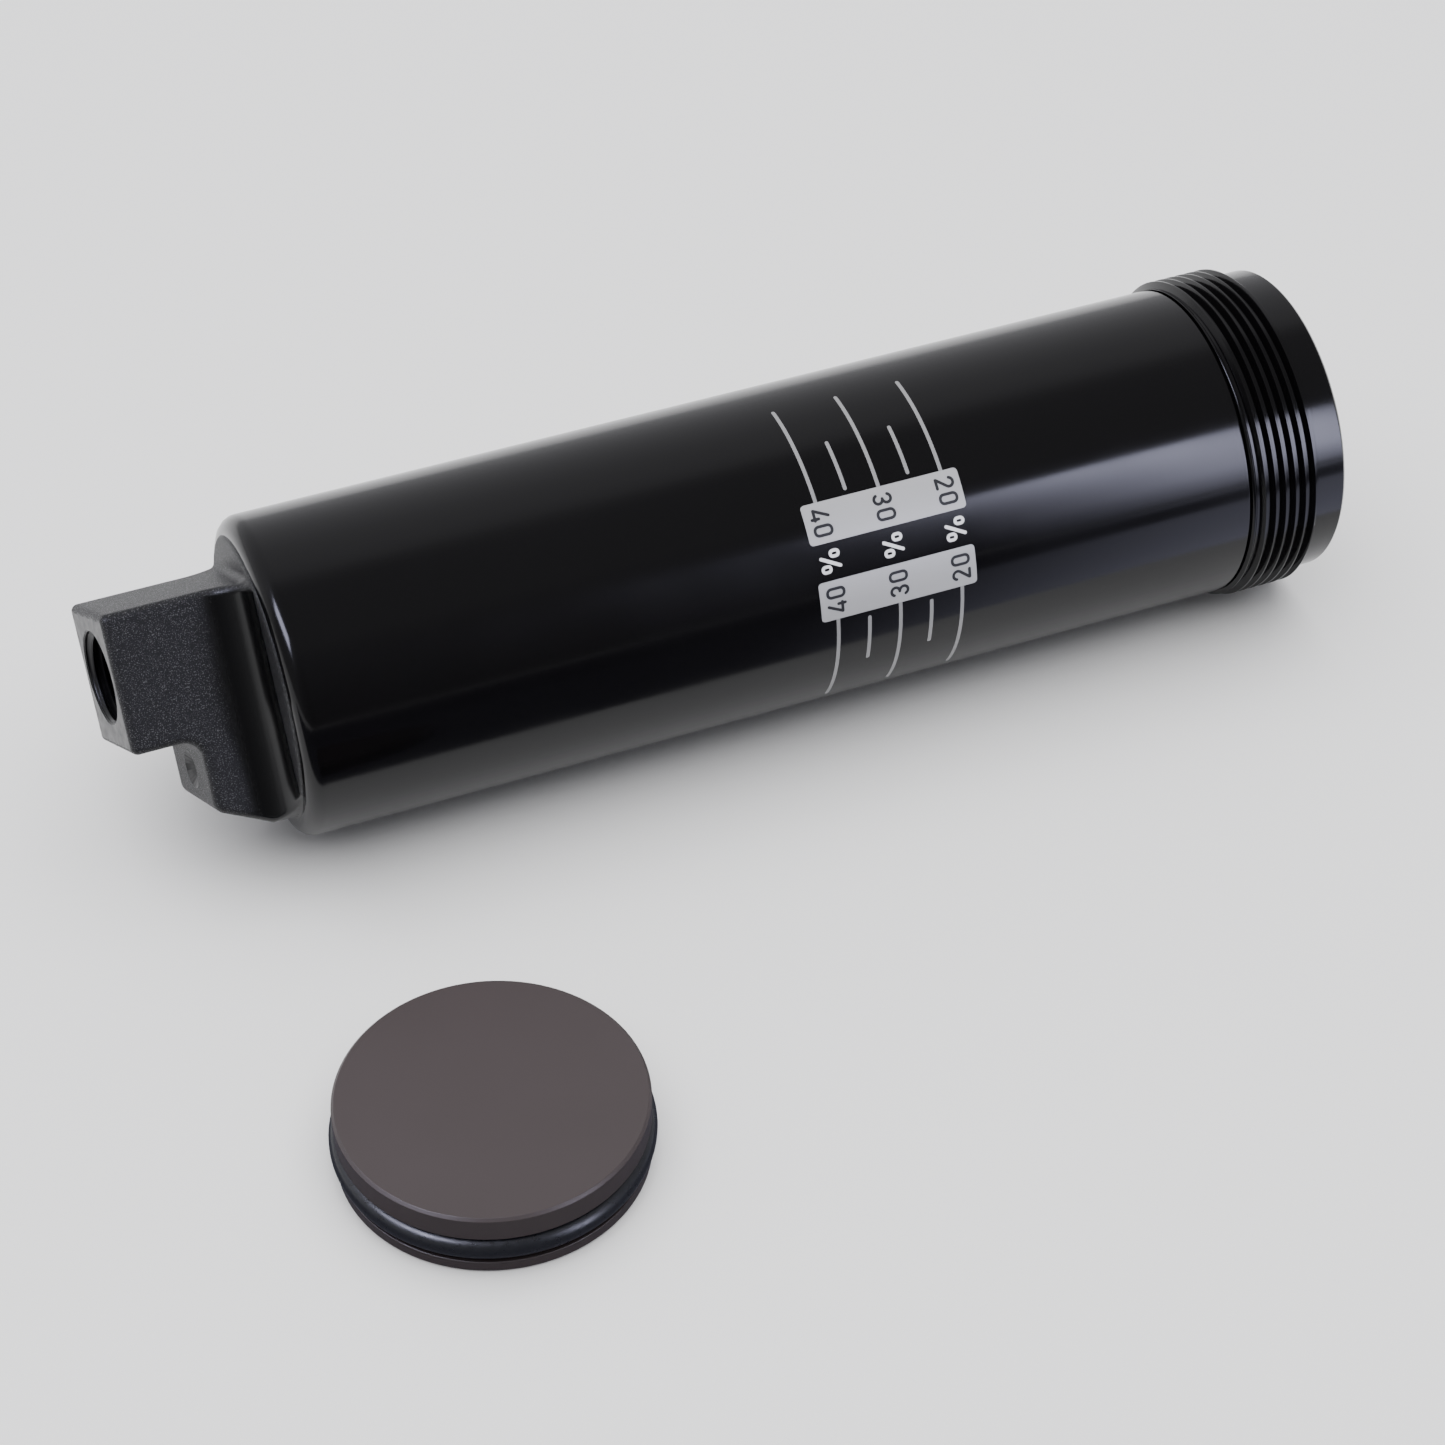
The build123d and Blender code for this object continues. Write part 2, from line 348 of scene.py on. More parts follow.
# %% [markdown]
# ## Finishes
#
# Every finish is a small node tree on a Principled shader. `finish` makes the shader with its plain
# values set on the sockets, and returns the tree so that the grain can be wired in. `noise` adds a Noise
# Texture on Object coordinates, stretched by a scale for each axis. Object coordinates are in metres
# from the frame's origin, so a scale of 1000 is one feature in each millimetre.

# %% Helpers for finishes
NOISE_RANGE = (0.3, 0.7)


def finish(name, colour, roughness, metallic=0.0, ior=1.5):
    """A material with a Principled shader; returns the material, its tree and the shader."""
    material = bpy.data.materials.new(name)
    material.use_nodes = True
    tree = material.node_tree
    shader = tree.nodes["Principled BSDF"]
    values = {"Base Color": (*colour, 1), "Roughness": roughness, "Metallic": metallic, "IOR": ior}
    for name_of_input, value in values.items():
        shader.inputs[name_of_input].default_value = value
    return material, tree, shader


def noise(tree, scale, detail=2.0):
    """Noise on Object coordinates, with its own scale along X, Y and Z; returns its value socket."""
    place = add_node(tree, "ShaderNodeTexCoord", {})
    inputs = {"Vector": place.outputs["Object"], "Scale": scale}
    stretched = add_node(tree, "ShaderNodeMapping", inputs).outputs["Vector"]
    inputs = {"Vector": stretched, "Scale": 1.0, "Detail": detail}
    return add_node(tree, "ShaderNodeTexNoise", inputs).outputs["Fac"]


def mix(tree, kind, factor, first, second):
    """Goes from a first value to a second by a factor; kind is FLOAT or RGBA."""
    inputs = {"A": first, "B": second, "Factor": factor}
    return add_node(tree, "ShaderNodeMix", inputs, data_type=kind).outputs["Result"]


def vary_roughness(tree, shader, pattern, low, high, span=NOISE_RANGE):
    """Lets the roughness follow a pattern from low to high."""
    tree.links.new(spread(tree, pattern, low, high, *span), shader.inputs["Roughness"])


def bump(tree, shader, height, distance_mm, strength=1.0):
    """Raises the surface by a height socket, at most distance_mm."""
    inputs = {"Height": height, "Distance": distance_mm * MM, "Strength": strength}
    raised = add_node(tree, "ShaderNodeBump", inputs)
    tree.links.new(raised.outputs["Normal"], shader.inputs["Normal"])


# %% [markdown]
# **Gloss black hard anodising.** The tube is drawn and ground, then anodised. The oxide is clear over a
# black dye, so it reflects like varnish, with very fine rings left by the grinding. Noise that changes
# quickly along X and hardly at all across it draws those rings in the bump, and a slow cloud varies the
# roughness.


# %% Gloss black for the turned surfaces
def make_gloss_black():
    material, tree, shader = finish(
        "gloss_black_anodised", colour=(0.0022, 0.0020, 0.0024), roughness=0.14, ior=1.31,
    )
    rings = noise(tree, scale=(2600, 25, 25), detail=3)
    cloud = noise(tree, scale=(60, 60, 60), detail=2)
    vary_roughness(tree, shader, cloud, low=0.12, high=0.18)
    bump(tree, shader, rings, distance_mm=0.0012, strength=0.5)
    return material


gloss_black = make_gloss_black()
print("made", gloss_black.name)

# %% [markdown]
# ** Matt forged black.** The lug keeps its forged and blasted skin under the same black oxide. It is a
# fine grain of about a sixth of a millimetre, and single grains catch the light as sparkles. The grain
# is a bump. At the brightest points of a finer noise the skin turns shinier, and a paler colour is
# painted on those points as glints.
#
# The hollow root next to the boss is smooth and darker. Three masks on Object coordinates say where the
# blasted skin is: out on the lug, on the strips along the boss's two flats, and at its top.

# %% Forged black for the lug
BLAST_START_X = -125.6
BLAST_FULL_X = -128.2
STRIP_EDGE = (10.9 * MM, 11.3 * MM)
TOP_EDGE = (10.9 * MM, 11.4 * MM)
ROOT_COLOUR = (0.0015, 0.0015, 0.0018, 1)
SKIN_COLOUR = (0.0050, 0.0050, 0.0056)
# The paler colour painted on the brightest grains as a glint.
PAINTED_GLINT_COLOUR = (0.07, 0.07, 0.076, 1)
SHINE_AND_GLINT_RANGE = (0.60, 0.74)
ROOT_ROUGHNESS = 0.2
SKIN_ROUGHNESS = 0.55
SPARKLE_ROUGHNESS = 0.36
ROOT_HEIGHT = 0.5


def make_forged_black():
    material, tree, shader = finish("forged_black_anodised", SKIN_COLOUR, roughness=0.5, ior=1.36)
    larger = partial(math_node, tree, "MAXIMUM")
    place = add_node(tree, "ShaderNodeTexCoord", {})
    on_lug = spread(tree, toward(tree, place, (1, 0, 0)), 0, 1, BLAST_START_X * MM, BLAST_FULL_X * MM)
    sideways = toward(tree, place, (0, math.cos(LUG_ROLL), -math.sin(LUG_ROLL)))
    upward = toward(tree, place, (0, math.sin(LUG_ROLL), math.cos(LUG_ROLL)))
    off_middle = math_node(tree, "ABSOLUTE", sideways)
    on_strip = spread(tree, off_middle, 0, 1, *STRIP_EDGE)
    on_top = spread(tree, upward, 0, 1, *TOP_EDGE)
    blasted = larger(on_lug, larger(on_strip, on_top))
    grain = noise(tree, scale=(6000, 6000, 6000), detail=1)
    # At the brightest points of this noise the skin turns shinier, which is real, and gets a paler
    # colour, which is a painted glint.
    shine_and_painted_glint = spread(tree, noise(tree, scale=(9000, 9000, 9000), detail=0), 0, 1, *SHINE_AND_GLINT_RANGE)
    skin = mix(tree, "RGBA", shine_and_painted_glint, (*SKIN_COLOUR, 1), PAINTED_GLINT_COLOUR)
    colour = mix(tree, "RGBA", blasted, ROOT_COLOUR, skin)
    tree.links.new(colour, shader.inputs["Base Color"])
    skin_roughness = spread(tree, shine_and_painted_glint, SKIN_ROUGHNESS, SPARKLE_ROUGHNESS)
    roughness = mix(tree, "FLOAT", blasted, ROOT_ROUGHNESS, skin_roughness)
    tree.links.new(roughness, shader.inputs["Roughness"])
    relief = mix(tree, "FLOAT", blasted, ROOT_HEIGHT, grain)
    bump(tree, shader, relief, distance_mm=0.07, strength=0.5)
    return material


forged_black = make_forged_black()
print("made", forged_black.name)

# %% [markdown]
# **Satin machined black.** The port's face and its thread were cut after forging, so under the oxide
# they are smoother than the lug and rougher than the ground tube.


# %% Machined black for the port face and the threads
def make_machined_black():
    material, tree, shader = finish(
        "machined_black_anodised", colour=(0.003, 0.003, 0.0035), roughness=0.34, ior=1.33,
    )
    marks = noise(tree, scale=(900, 900, 900), detail=3)
    vary_roughness(tree, shader, marks, low=0.28, high=0.40)
    bump(tree, shader, marks, distance_mm=0.004, strength=0.4)
    return material


machined_black = make_machined_black()
print("made", machined_black.name)

# %% [markdown]
# **Grey-brown hard anodising.** Undyed hard anodising on aluminium comes out a matt grey-brown, a
# little uneven in tone. A slow cloud mixes the two tones, and a very fine grain is the bump.

# %% Grey-brown for the pistons
DARKER_GREY = (0.033, 0.0245, 0.0248, 1)
PALER_GREY = (0.039, 0.029, 0.0293, 1)


def make_piston_grey():
    material, tree, shader = finish(
        "grey_hard_anodised", colour=(0.036, 0.0268, 0.027), roughness=0.42,
    )
    cloud = noise(tree, scale=(90, 90, 90), detail=3)
    grain = noise(tree, scale=(5200, 5200, 5200), detail=1)
    colour = mix(tree, "RGBA", cloud, DARKER_GREY, PALER_GREY)
    tree.links.new(colour, shader.inputs["Base Color"])
    vary_roughness(tree, shader, cloud, low=0.38, high=0.47)
    bump(tree, shader, grain, distance_mm=0.006, strength=0.3)
    return material


piston_grey = make_piston_grey()
print("made", piston_grey.name)

# %% [markdown]
# **Seal rubber.** A new O-ring is black and smooth with a film of oil, and takes a soft bluish
# highlight. The inks of the print are thin and slightly metallic.

# %% Rubber and inks
INK_METALLIC = 0.25
INK_SMOOTHER = 0.05
INK_ROUGHER = 0.07


def make_seal_rubber():
    material, tree, shader = finish("seal_rubber", colour=(0.0075, 0.008, 0.0115), roughness=0.32)
    skin = noise(tree, scale=(1500, 1500, 1500), detail=2)
    vary_roughness(tree, shader, skin, low=0.26, high=0.38)
    bump(tree, shader, skin, distance_mm=0.006, strength=0.3)
    return material


def make_ink(name, colour, roughness):
    material, tree, shader = finish(name, colour, roughness, INK_METALLIC)
    speckle = noise(tree, scale=(2500, 2500, 2500), detail=1)
    low, high = roughness - INK_SMOOTHER, roughness + INK_ROUGHER
    vary_roughness(tree, shader, speckle, low, high, span=(0, 1))
    return material


seal_rubber = make_seal_rubber()
silver_ink = make_ink("silver_ink", colour=(0.42, 0.42, 0.43), roughness=0.42)
grey_ink = make_ink("grey_ink", colour=(0.27, 0.27, 0.275), roughness=0.5)
white_ink = make_ink("white_ink", colour=(0.8, 0.8, 0.8), roughness=0.5)
black_ink = make_ink("black_ink", colour=(0.012, 0.012, 0.014), roughness=0.5)
print("made", seal_rubber.name, silver_ink.name, grey_ink.name, white_ink.name, black_ink.name)

# %% [markdown]
# ## Turned pieces
#
# A turned piece is its half outline spun about its axis. `rounded` replaces the outline's corners by
# small arcs and puts a point just beside each arc, so that smooth shading doesn't bleed into the flats.
# `spun` makes the surface, closes it at the axis and makes the normals point outwards.

# %% Helpers for turned pieces
ON_AXIS = 1e-6
WELD = 1e-7
SHARP_ANGLE = math.radians(32)


def rounded(corners, steps=5, guard=0.12):
    """An outline from (x, radius, corner radius) points, with arcs where there is a corner radius."""
    points = []
    for i, (x, r, corner_radius) in enumerate(corners):
        here = Vector((x, r))
        if corner_radius == 0:
            points.append(here)
            continue
        before = (Vector(corners[i - 1][:2]) - here).normalized()
        after = (Vector(corners[(i + 1) % len(corners)][:2]) - here).normalized()
        half_angle = before.angle(after) / 2
        reach = corner_radius / math.tan(half_angle)
        centre = here + (before + after).normalized() * (corner_radius / math.sin(half_angle))
        start = here + before * reach - centre
        end = here + after * reach - centre
        points.append(centre + start + before * guard)
        for step in range(steps + 1):
            blend = start.lerp(end, step / steps)
            points.append(centre + blend.normalized() * corner_radius)
        points.append(centre + end + after * guard)
    return points


def spun(name, outline, segments=256, closed=False):
    """A mesh of revolution about X; the outline runs from axis to axis, or round a ring if closed."""
    vertices, faces, rings = [], [], []
    for x, r in outline:
        if r < ON_AXIS:
            rings.append([len(vertices)] * segments)
            vertices.append((x * MM, 0, 0))
            continue
        rings.append(list(range(len(vertices), len(vertices) + segments)))
        for s in range(segments):
            angle = math.tau * s / segments
            vertices.append((x * MM, r * MM * math.cos(angle), r * MM * math.sin(angle)))
    pairs = list(zip(rings, rings[1:] + rings[:1] if closed else rings[1:]))
    for first, second in pairs:
        for s in range(segments):
            t = (s + 1) % segments
            # A ring on the axis is one vertex, so its faces are triangles.
            faces.append(list(dict.fromkeys((first[s], first[t], second[t], second[s]))))
    mesh = bpy.data.meshes.new(name)
    mesh.from_pydata(vertices, [], faces)
    return finished(name, mesh)


def finished(name, mesh):
    """Closes up a mesh, turns its normals outwards, smooths it and links it as an object."""
    shape = bmesh.new()
    shape.from_mesh(mesh)
    bmesh.ops.remove_doubles(shape, verts=shape.verts, dist=WELD)
    bmesh.ops.recalc_face_normals(shape, faces=shape.faces)
    shape.to_mesh(mesh)
    shape.free()
    mesh.shade_smooth()
    mesh.set_sharp_from_angle(angle=SHARP_ANGLE)
    return add_object(name, mesh)


def paint(piece, *materials):
    """Gives a piece its materials, in slot order."""
    piece.data.materials.clear()
    for material in materials:
        piece.data.materials.append(material)


# %% [markdown]
# ## The tube
#
# The tube is one turned piece: pilot, a seat under the thread, the long ground barrel, the rounded
# shoulder, and the bore with its lead-in and its rounded bottom corner. The mouth's edges are broken by
# a small chamfer, which is what catches the bright hairline there.

# %% Spin the tube
THREAD_SEAT_RADIUS = 17.2
BARREL_END_X = -12.2
THREAD_START_X = -11.9
EDGE_RADIUS_OUTSIDE = 0.12
EDGE_RADIUS_MOUTH = 0.08
EDGE_RADIUS_BORE = 0.1
MOUTH_CHAMFER = 0.3
LEAD_IN = 0.5
LEAD_IN_X = -1.0
BORE_BOTTOM_RADIUS = 2.0
tube_outline = rounded([
    (END_FACE_X, 0, 0),
    (END_FACE_X, TUBE_RADIUS, SHOULDER_RADIUS),
    (BARREL_END_X, TUBE_RADIUS, EDGE_RADIUS_OUTSIDE),
    (BARREL_END_X, THREAD_SEAT_RADIUS, 0),
    (-PILOT_LENGTH, THREAD_SEAT_RADIUS, 0),
    (-PILOT_LENGTH, PILOT_RADIUS, EDGE_RADIUS_OUTSIDE),
    (-MOUTH_CHAMFER, PILOT_RADIUS, EDGE_RADIUS_MOUTH),
    (0, PILOT_RADIUS - MOUTH_CHAMFER, EDGE_RADIUS_MOUTH),
    (0, BORE_RADIUS + LEAD_IN, EDGE_RADIUS_MOUTH),
    (LEAD_IN_X, BORE_RADIUS, EDGE_RADIUS_BORE),
    (BORE_BOTTOM_X, BORE_RADIUS, BORE_BOTTOM_RADIUS),
    (BORE_BOTTOM_X, 0, 0),
])
tube = spun("ground_tube", tube_outline, segments=288)
paint(tube, gloss_black)
print("tube", len(tube.data.polygons), "faces")

# %% [markdown]
# ## The two threads
#
# A thread is one shape repeated along a helix, so one Geometry Nodes tree makes both the outside thread
# and the port's. A grid is rolled up round the axis: its columns go round and its rows go along. Each
# row slides along by one pitch in a turn, so the rows follow the helix, and with sixteen rows to a pitch
# the corners of the thread's profile always fall on a row. The ridge fades in and out over a lead, as a
# cutting tool leaves it. The first row and the last two drop to the core, which closes the sleeve.

# %% Geometry Nodes tree for a thread
ROWS_PER_PITCH = 16
THREAD_COLUMNS = 180
CREST_SHARE = 1 / 8
ROOT_SHARE = 1 / 4


def make_thread_tree():
    """A sleeve about +X from x = 0: inputs in metres, and returns the tree."""
    tree = bpy.data.node_groups.new("thread_sleeve", "GeometryNodeTree")
    interface = tree.interface
    for name in ("Pitch", "Length", "Root Radius", "Crest Radius", "Core Radius", "Lead"):
        interface.new_socket(name, in_out="INPUT", socket_type="NodeSocketFloat")
    interface.new_socket("Rows", in_out="INPUT", socket_type="NodeSocketInt")
    interface.new_socket("Finish", in_out="INPUT", socket_type="NodeSocketMaterial")
    interface.new_socket("Geometry", in_out="OUTPUT", socket_type="NodeSocketGeometry")
    given = tree.nodes.new("NodeGroupInput").outputs
    calc = partial(math_node, tree)
    plus = partial(calc, "ADD")
    minus = partial(calc, "SUBTRACT")
    times = partial(calc, "MULTIPLY")
    size = {"Vertices X": THREAD_COLUMNS + 1, "Vertices Y": given["Rows"]}
    grid = add_node(tree, "GeometryNodeMeshGrid", size)
    place = add_node(tree, "GeometryNodeInputPosition", {})
    split = add_node(tree, "ShaderNodeSeparateXYZ", {"Vector": place.outputs["Position"]})
    last_row = minus(given["Rows"], 1)

    # The grid runs from -0.5 to 0.5, so half a metre more gives shares of a turn and of the rows.
    turn = plus(split.outputs["X"], 0.5)
    row = calc("ROUND", times(plus(split.outputs["Y"], 0.5), last_row))

    # How far along: the row's place, slid by the turn, held between the sleeve's two ends.
    slid = times(given["Pitch"], plus(times(row, 1 / ROWS_PER_PITCH), minus(turn, 1)))
    along = calc("MINIMUM", calc("MAXIMUM", slid, 0.0), given["Length"])
    closing = calc("LESS_THAN", row, minus(last_row, 0.5))
    along = times(along, closing)

    # How high: the profile repeats each pitch, with a crest, a root and two straight flanks.
    phase = calc("FRACT", times(row, 1 / ROWS_PER_PITCH))
    from_crest = calc("ABSOLUTE", minus(phase, 0.5))
    flank_share = (1 - CREST_SHARE - ROOT_SHARE) / 2
    below_crest = times(minus(from_crest, CREST_SHARE / 2), 1 / flank_share)
    profile = calc("SUBTRACT", 1.0, below_crest, clamp=True)
    fade_in = calc("DIVIDE", along, given["Lead"], clamp=True)
    fade_out = calc("DIVIDE", minus(given["Length"], along), given["Lead"], clamp=True)
    height = times(times(profile, fade_in), fade_out)
    ridge = times(height, minus(given["Crest Radius"], given["Root Radius"]))
    surface = plus(given["Root Radius"], ridge)
    first_rows = calc("GREATER_THAN", row, 0.5)
    last_rows = calc("LESS_THAN", row, minus(last_row, 1.5))
    on_surface = times(first_rows, last_rows)
    radius = plus(given["Core Radius"], times(on_surface, minus(surface, given["Core Radius"])))

    angle = times(turn, math.tau)
    rolled = add_node(tree, "ShaderNodeCombineXYZ", {
        "X": along,
        "Y": times(radius, calc("COSINE", angle)),
        "Z": times(radius, calc("SINE", angle)),
    })
    shape = grid.outputs["Mesh"]
    for kind, inputs in (
        ("GeometryNodeSetPosition", {"Position": rolled.outputs["Vector"]}),
        ("GeometryNodeMergeByDistance", {"Distance": WELD}),
        ("GeometryNodeRealizeInstances", {}),
        ("GeometryNodeSetMaterial", {"Material": given["Finish"]}),
    ):
        shape = add_node(tree, kind, {"Geometry": shape, **inputs}).outputs["Geometry"]
    add_node(tree, "NodeGroupOutput", {"Geometry": shape})
    return tree


thread_tree = make_thread_tree()
print("thread tree has", len(thread_tree.nodes), "nodes")


# %% Grow a thread from the tree
def grow_thread(name, place, pitch, length, root, crest, core, lead, material):
    """Runs the thread tree with these millimetre sizes, and moves the mesh to its place."""
    rows = round((length / pitch + 1) * ROWS_PER_PITCH) + 2
    values = {
        "Pitch": pitch * MM, "Length": length * MM, "Lead": lead * MM,
        "Root Radius": root * MM, "Crest Radius": crest * MM, "Core Radius": core * MM,
        "Rows": rows, "Finish": material,
    }
    holder = add_object(name + "_holder", bpy.data.meshes.new(name + "_start"))
    modifier = holder.modifiers.new("thread", "NODES")
    modifier.node_group = thread_tree
    for item in thread_tree.interface.items_tree:
        if item.in_out == "INPUT":
            modifier[item.identifier] = values[item.name]
    evaluated = holder.evaluated_get(bpy.context.evaluated_depsgraph_get())
    mesh = bpy.data.meshes.new_from_object(evaluated)
    mesh.name = name
    bpy.data.objects.remove(holder)
    mesh.transform(place)
    piece = finished(name, mesh)
    paint(piece, material)
    return piece


THREAD_PHASE = math.radians(-30)
THREAD_SUNK = 0.1
THREAD_LEAD = 0.55
thread_place = Matrix.Translation((THREAD_START_X * MM, 0, 0)) @ Matrix.Rotation(THREAD_PHASE, 4, "X")
outside_thread = grow_thread(
    "outside_thread", thread_place, THREAD_PITCH, -PILOT_LENGTH - THREAD_START_X,
    root=THREAD_ROOT_RADIUS, crest=CREST_RADIUS, core=THREAD_SEAT_RADIUS - THREAD_SUNK,
    lead=THREAD_LEAD, material=gloss_black,
)
print("outside thread", len(outside_thread.data.polygons), "faces")

# %% [markdown]
# ## The forged lug
#
# The lug is forged in one piece with the tube's end, and its shape is all blends: rounded outer edges,
# a hollow root where its sides run out into the boss, and a rounded notch. Such a shape is easiest as a
# distance field, a formula that tells how far any point is from the skin. Flat sides are distances,
# `rounded_meet` keeps what is inside all of them with rounded outer edges, and `hollow_join` joins two
# with a hollow curve. The field is in millimetres with the lug upright: t is the height above the
# shoulder, y runs across the lug and z along it.

# %% The lug as a distance field
LUG_LENGTH = 18.2
STEP_LENGTH = 11.1
HALF_WIDTH = 6.7
LUG_TOP = 11.7
LUG_UNDERSIDE = -3.5
FOOT_LENGTH = 4.8
FOOT_UNDERSIDE = -14.2
STEP_UNDERSIDE = -11.2
NOTCH_RADIUS = 2.0
ROOT_RADIUS = 4.6
TOP_ROOT_RADIUS = 0.8
EDGE_RADIUS = 0.75
BOSS_RADIUS = 15.6
BOSS_HALF_FLATS = 12.2
BOSS_HEIGHT = 2.2
BOSS_EDGE_RADIUS = 0.2
BURIED = 1.0
FLARE = 0.3


def rounded_meet(distances, radius):
    """What lies inside all of the given surfaces, with the outer edges rounded."""
    deepest = np.maximum.reduce(distances)
    reach = sum(np.maximum(d + radius, 0) ** 2 for d in distances)
    return np.where(deepest > -radius, np.sqrt(reach) - radius, deepest)


def hollow_join(first, second, radius):
    """What lies inside either of two surfaces, with a hollow curve in the corner between them."""
    reach = np.maximum(radius - first, 0) ** 2 + np.maximum(radius - second, 0) ** 2
    return np.maximum(radius, np.minimum(first, second)) - np.sqrt(reach)


def lug_distance(t, y, z):
    """Millimetres from the lug's skin, negative inside it."""
    lean = y * math.tan(FACE_TILT)
    port_end = (t - lean - LUG_LENGTH) * math.cos(FACE_TILT)
    step_end = (t - lean - STEP_LENGTH) * math.cos(FACE_TILT)
    notch = hollow_join(step_end, LUG_UNDERSIDE - z, NOTCH_RADIUS)
    slope = math.atan2(STEP_UNDERSIDE - FOOT_UNDERSIDE, STEP_LENGTH - FOOT_LENGTH)
    sloping = (t - FOOT_LENGTH) * math.sin(slope) - (z - FOOT_UNDERSIDE) * math.cos(slope)
    under = np.maximum(sloping, FOOT_UNDERSIDE - z)
    above_boss = t - BOSS_HEIGHT
    sides = hollow_join(np.abs(y) - HALF_WIDTH, above_boss, ROOT_RADIUS)
    top = hollow_join(z - LUG_TOP, above_boss, TOP_ROOT_RADIUS)
    block = rounded_meet([notch, port_end, top, under, sides], EDGE_RADIUS)

    # Down from its top edge the boss widens at 45 degrees, until it is wider by FLARE all round.
    flare = np.clip(above_boss, -FLARE, 0)
    slab = rounded_meet([above_boss, np.abs(y) - BOSS_HALF_FLATS + flare], BOSS_EDGE_RADIUS)
    rim = np.sqrt(y * y + z * z) - BOSS_RADIUS + flare
    forging = rounded_meet([np.minimum(block, slab), rim], BOSS_EDGE_RADIUS)
    return np.maximum(forging, -BURIED - t)


print("at the middle of the lug the field is", round(float(lug_distance(9.0, 0.0, 4.0)), 2))

# %% [markdown]
# The skin is found by the surface-nets method: space is cut into small cells, each cell that the skin
# crosses gets one vertex, and each crossed edge between cells gets one face. The vertices are then
# evened out and pulled exactly onto the skin a few times, so that flats come out flat.

# %% Skin the field
CELL = 0.26
EVENING_ROUNDS = 3
PULLS = 4
SLOPE_STEP = 1e-4
LEAST_SLOPE = 0.25
FIELD_LOW = (-1.6, -17.0, -17.0)
FIELD_HIGH = (19.6, 17.0, 17.0)


def surface_net(distance, low, high):
    """Vertices and four-cornered faces of the field's zero surface, inside the given box."""
    axes = [np.arange(a, b, CELL) for a, b in zip(low, high)]
    value = distance(*np.meshgrid(*axes, indexing="ij"))
    inside = value < 0
    cells = tuple(n - 1 for n in value.shape)
    total = np.zeros(cells + (3,))
    count = np.zeros(cells)
    corners = [(i, j, k) for i in (0, 1) for j in (0, 1) for k in (0, 1)]
    window = {c: tuple(slice(o, o + n) for o, n in zip(c, cells)) for c in corners}

    # Each cell's vertex is the mean of the places where the skin crosses the cell's twelve edges.
    for first in corners:
        for axis in range(3):
            if first[axis]:
                continue
            second = tuple(1 if a == axis else o for a, o in enumerate(first))
            f, g = value[window[first]], value[window[second]]
            crossed = inside[window[first]] != inside[window[second]]
            share = np.where(crossed, f / np.where(crossed, f - g, 1), 0)
            for a in range(3):
                total[..., a] += crossed * (share if a == axis else first[a])
            count += crossed
    used = count > 0
    number = np.full(cells, -1)
    number[used] = np.arange(used.sum())
    place = np.argwhere(used) + total[used] / count[used][:, None]
    vertices = place * CELL + np.array([a[0] for a in axes])

    # Each crossed edge between samples joins the vertices of the four cells round it.
    faces = []
    for axis in range(3):
        b, c = (axis + 1) % 3, (axis + 2) % 3
        ahead = np.roll(inside, -1, axis)
        edge = np.argwhere(inside != ahead)
        edge = edge[(edge[:, b] > 0) & (edge[:, c] > 0)]
        edge = edge[(edge < np.array(cells)).all(axis=1)]
        quad = []
        for step_b, step_c in ((1, 1), (0, 1), (0, 0), (1, 0)):
            near = edge.copy()
            near[:, b] -= step_b
            near[:, c] -= step_c
            quad.append(number[tuple(near.T)])
        quad = np.stack(quad, axis=1)
        faces.append(quad[(quad >= 0).all(axis=1)])
    return vertices, np.concatenate(faces)


def slopes(distance, points):
    """The field's gradient at each point."""
    columns = []
    for axis in range(3):
        step = np.zeros(3)
        step[axis] = SLOPE_STEP
        rise = distance(*(points + step).T) - distance(*(points - step).T)
        columns.append(rise / (2 * SLOPE_STEP))
    return np.stack(columns, axis=1)


def pulled_onto(distance, points):
    """The points, moved straight onto the skin."""
    for _ in range(PULLS):
        slope = slopes(distance, points)
        squared = np.maximum((slope * slope).sum(axis=1), LEAST_SLOPE)
        points = points - slope * (distance(*points.T) / squared)[:, None]
    return points


def evened(vertices, faces):
    """Each vertex moved halfway to the mean of its neighbours."""
    total = np.zeros_like(vertices)
    count = np.zeros(len(vertices))
    for a in range(4):
        here, there = faces[:, a], faces[:, (a + 1) % 4]
        for start, end in ((here, there), (there, here)):
            np.add.at(total, start, vertices[end])
            np.add.at(count, start, 1)
    return (vertices + total / np.maximum(count, 1)[:, None]) / 2


lug_points, lug_faces = surface_net(lug_distance, FIELD_LOW, FIELD_HIGH)
lug_points = pulled_onto(lug_distance, lug_points)
for _ in range(EVENING_ROUNDS):
    lug_points = pulled_onto(lug_distance, evened(lug_points, lug_faces))
print("lug skin", len(lug_faces), "faces")

# %% [markdown]
# The skin becomes a mesh, and the drilled holes are cut with Booleans, which keep their edges crisp: the
# port with its chamfer and the oil passage behind it, and the spot drilled on the step. The cutters are
# spun outlines, laid along the port's leaning axis. The passage goes on through the tube's end.

# %% Cut the drilled holes
PORT_HEIGHT = 4.4
PORT_MAJOR_RADIUS = 5.05
PORT_MINOR_RADIUS = 4.46
PORT_HOLE_RADIUS = 5.12
PORT_MOUTH_RADIUS = 5.25
PORT_DEPTH = 9.0
PASSAGE_RADIUS = 2.0
PASSAGE_LENGTH = 23.4
DIMPLE_RADIUS = 2.1
DIMPLE_DEPTH = 1.3
DIMPLE_HEIGHT = -7.6
CUTTER_START = -1
CUTTER_SEGMENTS = 128
upright_to_row = Matrix.Rotation(-LUG_ROLL, 4, "X")
lean_over = Matrix.Rotation(FACE_TILT, 4, "Z")


